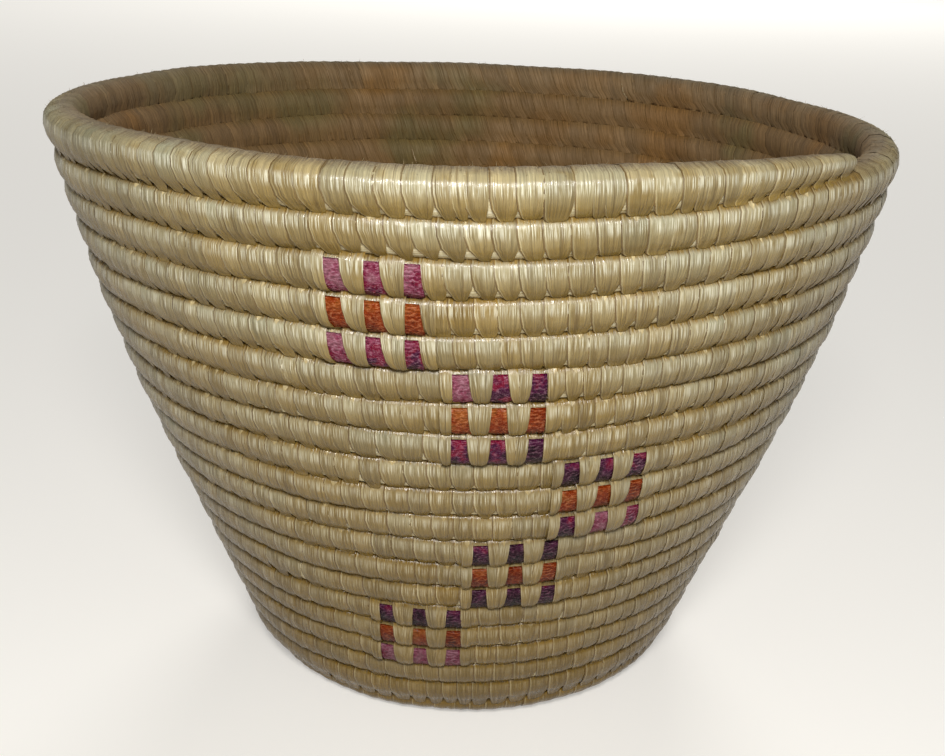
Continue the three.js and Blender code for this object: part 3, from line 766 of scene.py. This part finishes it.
def dyed_gut(name, dyes, rubbed, wrinkled):
    """Dried gut, dyed and scraped thin: a wrinkled semi-gloss skin, pale where creases were rubbed, with
    painted glints on these pale streaks and ridges, and dark where the dye gathered. Each cell is darker
    towards its lower side, and all are darker towards the foot, as painted shade. wrinkled is the strength of
    its relief, and the full one is 0.35 mm deep."""
    material, tree = new_material(name)
    dye = add(tree, "ShaderNodeAttribute", attribute_name="dye").outputs["Fac"]
    around = add(tree, "ShaderNodeAttribute", attribute_name="round").outputs["Fac"]
    place_on = add(tree, "ShaderNodeTexCoord").outputs["Object"]
    wrinkles = grain(tree, *GUT_WRINKLES, 3.0, 3.0)
    blots = add(tree, "ShaderNodeTexNoise", {"Vector": place_on, "Scale": 1 / (2.6 * MM), "Detail": 3.0})
    blot = add(tree, "ShaderNodeMapRange", {0: blots, 1: 0.36, 2: 0.64, 3: -0.27, 4: 0.27})
    calmer = add(tree, "ShaderNodeMapRange", {0: dye, 1: 0.0, 2: 0.8, 3: 0.3, 4: 1.0})
    blot = add(tree, "ShaderNodeMath", {0: blot, 1: calmer}, operation="MULTIPLY")
    # Painted shade: each cell darker towards its lower side, where it curves into the groove.
    painted_low_shade = add(tree, "ShaderNodeMapRange", {0: around, 1: 0.25, 2: -0.5, 3: 0.1, 4: -0.26})
    depth = add(tree, "ShaderNodeMath", {0: dye, 1: blot}, operation="ADD")
    depth = add(tree, "ShaderNodeMath", {0: depth, 1: painted_low_shade}, operation="ADD")
    base = add(tree, "ShaderNodeValToRGB", {0: depth})
    set_ramp(base, dyes)
    # Pale streaks in the rubbed colour: dye rubbed off the creases, and painted glints.
    pale = add(tree, "ShaderNodeMapRange", {0: dye, 3: 0.15, 4: 0.62})
    rubbed_and_glint_streak = add(tree, "ShaderNodeMapRange", {0: wrinkles, 1: 0.53, 2: 0.66, 3: 0.0, 4: pale})
    rubbed_and_glinted = add(tree, "ShaderNodeMixRGB", {0: rubbed_and_glint_streak, 1: base, 2: linear(rubbed)})
    # Thin pale crinkle ridges in the rubbed colour: rubbed dye, and painted glints.
    crinkles = add(tree, "ShaderNodeTexNoise", {
        "Vector": place_on, "Scale": 1 / (0.9 * MM), "Detail": 2.0, "Distortion": 1.4})
    off_ridge = add(tree, "ShaderNodeMath", {0: crinkles, 1: 0.5}, operation="SUBTRACT")
    off_ridge = add(tree, "ShaderNodeMath", {0: off_ridge}, operation="ABSOLUTE")
    rubbed_and_glint_ridge = add(tree, "ShaderNodeMapRange", {0: off_ridge, 1: 0.0, 2: 0.022, 3: pale, 4: 0.0})
    rubbed_and_glint_ridged = add(tree, "ShaderNodeMixRGB", {0: rubbed_and_glint_ridge, 1: rubbed_and_glinted, 2: linear(rubbed)})
    dark = add(tree, "ShaderNodeMapRange", {0: wrinkles, 1: 0.32, 2: 0.52, 3: 0.5, 4: 1.0})
    creased = add(tree, "ShaderNodeMixRGB", {0: 1.0, 1: rubbed_and_glint_ridged, 2: dark}, blend_type="MULTIPLY")
    # Painted shade: darker towards the foot, as the light falls off downwards.
    height = add(tree, "ShaderNodeSeparateXYZ", {0: place_on}).outputs[2]
    painted_foot_shade = add(tree, "ShaderNodeMapRange", {0: height, 1: 10 * MM, 2: 95 * MM, 3: 0.66, 4: 1.0})
    colour = add(tree, "ShaderNodeMixRGB", {0: 1.0, 1: creased, 2: painted_foot_shade}, blend_type="MULTIPLY")
    bump = add(tree, "ShaderNodeBump", {"Strength": wrinkled, "Distance": 0.35 * MM, "Height": wrinkles})
    finish_material(tree, add(tree, "ShaderNodeBsdfPrincipled", {
        "Base Color": colour, "Roughness": 0.18, "IOR": 1.42, "Specular IOR Level": 0.14, "Normal": bump}))
    return material


MATERIALS = {
    "grass_wall": sewn_grass("sewn_beach_grass", FRESH, groove="856a24"),
    "grass_base": sewn_grass("sewn_beach_grass_base", UNDER, groove="94783f"),
    "grass_stitch": sewn_grass("sewn_beach_grass_figure", FRESH[:3], groove="8d722e"),
    "bundle": loose_grass("loose_dry_grass"),
    "gut_purple": dyed_gut("gut_dyed_purple", PURPLE, rubbed="b98c9a", wrinkled=0.8),
    "gut_orange": dyed_gut("gut_dyed_orange", ORANGE, rubbed="c58556", wrinkled=0.5),
}


def finish(piece, material, slot, *nodes):
    """Gives a piece its material, and lets it ride on the basket in place of its solids. The slot is not
    used.
    """
    piece.data.materials.append(MATERIALS[material])
    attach(piece, "root")
    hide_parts(*nodes)


def make_grass():
    """The bundle in its two parts and the stitches over it: base, wall bands and tail."""
    rng = np.random.default_rng(41)
    finish(bundle("base_bundle", START_TURN, BASE_ROUNDS), "bundle", "grass_base", "base_coil")
    finish(start_knot("start_knot"), "bundle", "grass_base", "base_coil")
    finish(bundle("wall_bundle", BASE_ROUNDS, TURNS), "bundle", "grass_wall", "wall_coil")
    middles, widths = lay_out()
    tail_from = TURNS - turns_for(TAIL_STITCHES * TAIL_STITCH_SPACING, TURNS)
    tucked = np.zeros(len(middles), dtype=bool)
    half_strip = (3 * GUT_SHOWN + 2 * OVER_STITCH_WIDTH) / 2
    for _, top_round, across, dyes in BLOCKS:
        for row in range(len(dyes)):
            strip = turn_on_front(top_round + row, across)
            tucked |= np.abs(middles - strip) < turns_for(half_strip, strip)
    edges = np.concatenate(((START_TURN,), np.linspace(BASE_ROUNDS, tail_from, WALL_BANDS + 1)))
    for number, (first, last) in enumerate(zip(edges[:-1], edges[1:])):
        chosen = (middles >= first) & (middles < last)
        name = f"wall_stitches_{number}" if number else "base_stitches"
        slot, node = ("grass_wall", "wall_coil") if number else ("grass_base", "base_coil")
        piece = sewn(name, middles[chosen], widths[chosen], rng, tucked=tucked[chosen])
        finish(piece, slot, slot, node)
    finish(rim_fuzz("rim_fuzz", RIM_HAIRS, rng), "grass_wall", "grass_wall")
    tail = TURNS - turns_for((np.arange(TAIL_STITCHES) + 0.5) * TAIL_STITCH_SPACING, TURNS)
    piece = sewn("tail_stitches", tail, np.full(TAIL_STITCHES, TAIL_STITCH_SPACING), rng, leans=TAIL_LEANS)
    finish(piece, "grass_stitch", "grass_stitch", *(f"tail_stitch_{i + 1}" for i in range(TAIL_STITCHES)))


def make_figure():
    """The gut strips and the two stitches that hold each. Such a stitch is split in two by the one that
    pierces it from above: two strands side by side, apart at their tops and together at their tips. One
    more strand lies over each end of the strip."""
    rng = np.random.default_rng(43)
    for name, top_round, across, dyes in BLOCKS:
        for row, dye in enumerate(dyes):
            label = f"{name}{row + 1}"
            strip = gut_strip(f"dyed_gut_{label}", turn_on_front(top_round + row, across), dye, rng)
            finish(strip, ROW_SLOTS[row], ROW_SLOTS[row], f"gut_strip_{label}")
            offset = (GUT_SHOWN + OVER_STITCH_WIDTH) / 2 / MM
            apart = STRAND_SPACING / 2 / MM
            strands = [side * offset + strand * apart for side in (-1, 1) for strand in (-1, 1)]
            end = 2 * offset + (GUT_SHOWN + STRAND_WIDTH) / 2 / MM
            turns = turn_on_front(top_round + row, across + np.array([-end] + strands + [end]))
            over = sewn(f"strip_stitches_{label}", turns, np.full(len(turns), STRAND_WIDTH), rng,
                        STRAND_LIFTS.reshape(-1, 1, 1), leans=lean_at(turns) + STRAND_LEANS,
                        forks=STRAND_FORKS)
            finish(over, "grass_stitch", "grass_stitch",
                   *(f"strip_stitch_{label}_{side}" for side in ("left", "right")))


def stand_and_light():
    """A pale floor, a soft lamp in front and above, a faint one on the right, a far one behind and a pale
    world."""
    mesh = bpy.data.meshes.new("floor")
    corners = [(x * FLOOR_REACH, y * FLOOR_REACH, 0) for x, y in ((-1, -1), (1, -1), (1, 1), (-1, 1))]
    mesh.from_pydata(corners, [], [(0, 1, 2, 3)])
    floor = bpy.data.objects.new("floor", mesh)
    bpy.context.collection.objects.link(floor)
    material, tree = new_material("pale_floor")
    ray = add(tree, "ShaderNodeLightPath")
    seen = add(tree, "ShaderNodeMath", {0: ray.outputs["Is Camera Ray"], 1: ray.outputs["Is Glossy Ray"]},
               operation="ADD")
    seen = add(tree, "ShaderNodeMath", {0: seen, 1: ray.outputs["Is Transmission Ray"]}, operation="ADD")
    glow = add(tree, "ShaderNodeMath", {0: seen, 1: FLOOR_GLOW}, operation="MULTIPLY")
    finish_material(tree, add(tree, "ShaderNodeBsdfPrincipled", {
        "Base Color": linear(FLOOR_COLOUR), "Roughness": 0.8, "Emission Color": linear(ROOM_COLOUR),
        "Emission Strength": glow}))
    mesh.materials.append(material)
    for name, where, size, watts in LAMPS:
        lamp = bpy.data.lights.new(name, "AREA")
        lamp.size = size
        lamp.energy = watts
        light = bpy.data.objects.new(name, lamp)
        light.location = where
        light.visible_camera = False
        light.visible_glossy = name != "back"
        light.rotation_euler = (Vector(LIT_PLACE) - Vector(where)).to_track_quat("-Z", "Y").to_euler()
        bpy.context.collection.objects.link(light)
    world = bpy.data.worlds.new("pale_room")
    world.use_nodes = True
    background = world.node_tree.nodes["Background"]
    background.inputs["Color"].default_value = linear(ROOM_COLOUR)
    background.inputs["Strength"].default_value = ROOM_STRENGTH
    bpy.context.scene.world = world


def set_camera():
    """The photograph's camera: turned by its yaw, its pitch and its roll, in that order."""
    yaw, down, roll = (math.radians(a) for a in (CAMERA_YAW, CAMERA_DOWN, CAMERA_ROLL))
    ahead = Vector((math.sin(yaw) * math.cos(down), math.cos(yaw) * math.cos(down), -math.sin(down)))
    level = ahead.cross(Vector((0, 0, 1))).normalized()
    upright = level.cross(ahead)
    right = level * math.cos(roll) + upright * math.sin(roll)
    up = upright * math.cos(roll) - level * math.sin(roll)
    turned = Matrix((right, up, -ahead)).transposed().to_4x4()
    lens = bpy.data.cameras.new("camera")
    lens.sensor_width = SENSOR_WIDTH_MM
    lens.lens = SENSOR_WIDTH_MM * FOCAL_PIXELS / PHOTO_WIDTH
    lens.clip_start = 0.01
    camera = bpy.data.objects.new("camera", lens)
    camera.matrix_world = Matrix.Translation(CAMERA_PLACE) @ turned
    bpy.context.collection.objects.link(camera)
    bpy.context.scene.camera = camera


make_grass()
make_figure()
stand_and_light()
set_camera()
bpy.context.scene.view_settings.view_transform = "Standard"
